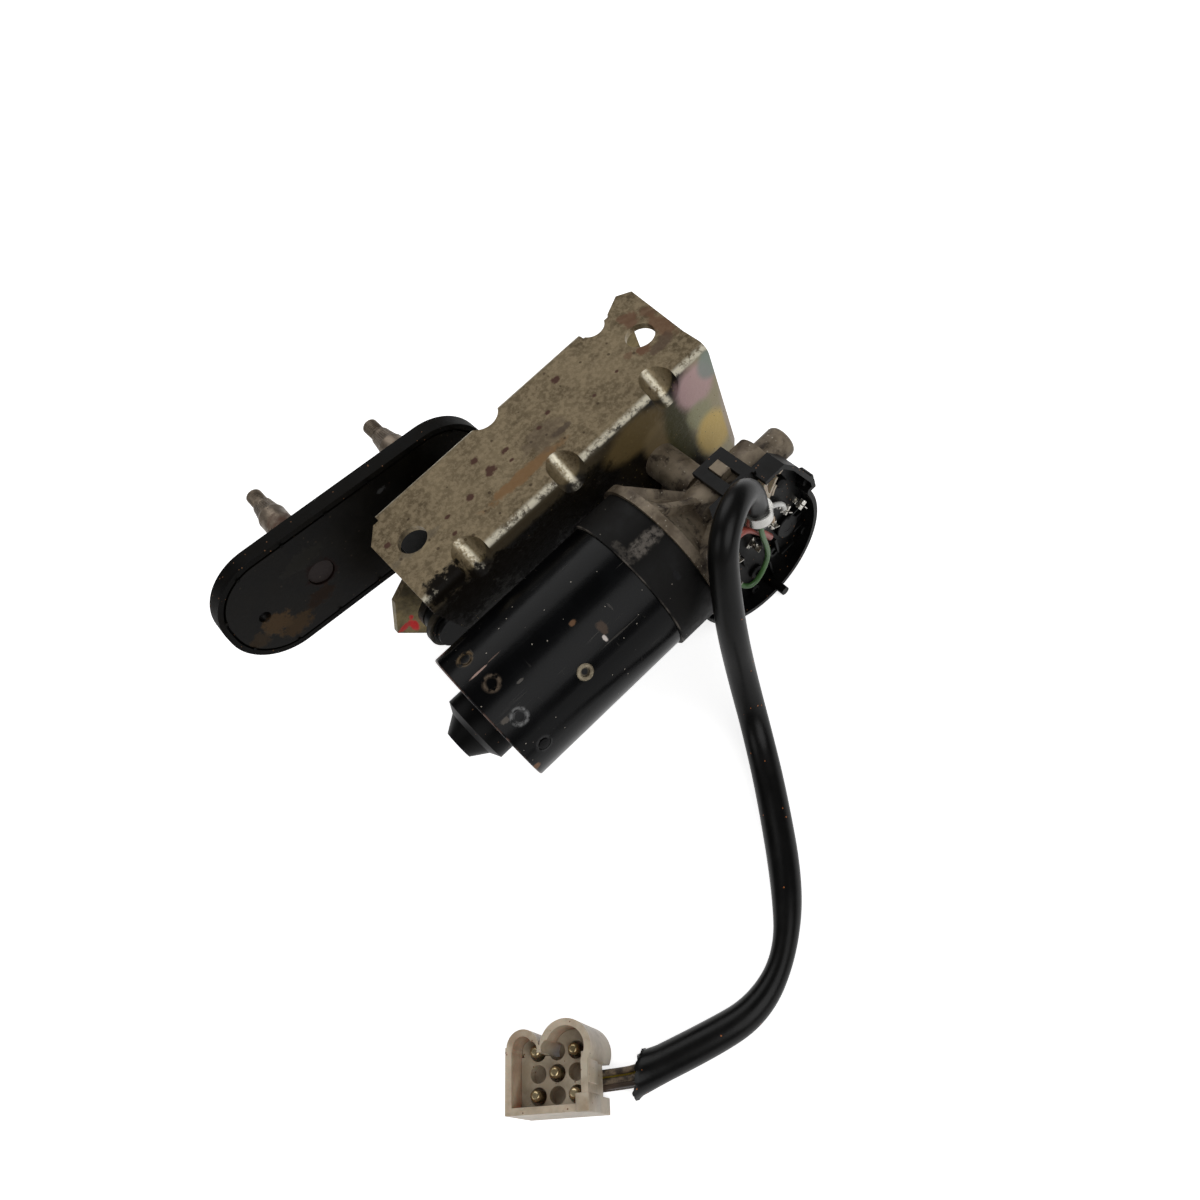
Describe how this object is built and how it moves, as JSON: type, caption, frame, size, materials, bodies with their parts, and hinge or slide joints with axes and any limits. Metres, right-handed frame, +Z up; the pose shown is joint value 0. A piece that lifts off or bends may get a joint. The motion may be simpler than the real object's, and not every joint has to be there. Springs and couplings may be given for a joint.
{
  "type": "wiper motor",
  "caption": "Geared electric wiper motor on a channel bracket, its crank and link in the channel and two wiper spindles on an oval plate.",
  "frame": {"origin": "centre of the underside of the object's box, cable left out, on the plane it stands on", "axes": "+X along the motor from its rear cap towards the thrust boss, +Y along the wiper spindles towards their threads, +Z up through the bracket flange"},
  "size_m": [0.2558, 0.3195, 0.1006],
  "materials": {
    "yoke_paint": "gloss",
    "black_plastic": "satin",
    "black_rubber": "matt",
    "casting": "as cast, dirty",
    "zinc": "yellow zinc plate, worn",
    "black_steel": "worn",
    "steel": "plain",
    "shaft_steel": "rusty",
    "core_steel": "laminated",
    "copper": "plain",
    "bronze": "sintered",
    "brass": "plain",
    "ferrite": "matt",
    "carbon": "matt",
    "white_nylon": "satin",
    "ivory_nylon": "aged",
    "pvc": "satin",
    "wire_white_pvc": "satin",
    "wire_beige_pvc": "satin",
    "wire_red_pvc": "satin",
    "wire_green_pvc": "satin",
    "wire_dark_pvc": "satin"
  },
  "bodies": {
    "case": {"yoke": "yoke_paint", "yoke_eyelet": "brass", "sealing_band": "black_rubber", "rear_cap": "black_plastic", "rear_bush": "bronze", "magnets": "ferrite", "brush_plate": "black_plastic", "brushes": "carbon", "gearbox_housing": "casting", "worm_bushes": "bronze", "thrust_ball": "steel", "thrust_pad": "steel", "output_bush": "bronze", "gear_cover": "black_plastic", "bracket": "zinc", "leg_screws": "steel", "drive_tube": "zinc", "idler_housing": "zinc", "spindle_bushes": "bronze", "spindle_plate": "black_steel", "pad_gasket": "black_rubber", "cable_sleeve": "pvc", "connector_housing": "ivory_nylon", "connector_pins": "brass", "loose_wires": "wire_dark_pvc", "cable_clamp": "steel", "terminals": "brass", "wire_white": "wire_white_pvc", "wire_beige": "wire_beige_pvc", "wire_red": "wire_red_pvc", "wire_green": "wire_green_pvc"},
    "armature": {"armature_shaft": "steel", "armature_core": "core_steel", "windings": "copper", "commutator": "copper"},
    "output": {"worm_wheel": "white_nylon", "output_shaft": "steel", "output_circlip": "steel", "crank": "steel", "crank_stud": "steel", "crank_nut": "steel"},
    "drive": {"drive_spindle": "shaft_steel", "drive_lever": "steel", "lever_stud": "steel"},
    "link": {"link_rod": "zinc", "link_sockets": "black_plastic"},
    "idler": {"idler_spindle": "shaft_steel"}
  },
  "joints": [
    {"name": "output_spin", "type": "hinge", "parent": "case", "child": "output", "pos_m": [0.07205, -0.07325, 0.032], "axis": [0, 1, 0], "continuous": true},
    {"name": "armature_spin", "type": "hinge", "parent": "case", "child": "armature", "pos_m": [-0.00395, -0.07325, 0.06], "axis": [1, 0, 0], "continuous": true},
    {"name": "lever_swing", "type": "hinge", "parent": "case", "child": "drive", "pos_m": [-0.00115, 0.00475, 0.0563], "axis": [0, -1, 0], "range_deg": [0, 75]},
    {"name": "link_swing", "type": "hinge", "parent": "drive", "child": "link", "pos_m": [-0.039, -0.00425, 0.0331], "axis": [0, -1, 0], "range_deg": [-60, 0]},
    {"name": "idler_swing", "type": "hinge", "parent": "case", "child": "idler", "pos_m": [-0.06455, 0.05675, 0.0644], "axis": [0, -1, 0], "range_deg": [0, 75]}
  ],
  "couplings": [
    {"joint": "armature_spin", "follows": "output_spin", "ratio": -45},
    {"joint": "link_swing", "follows": "lever_swing", "ratio": -0.769}
  ]
}
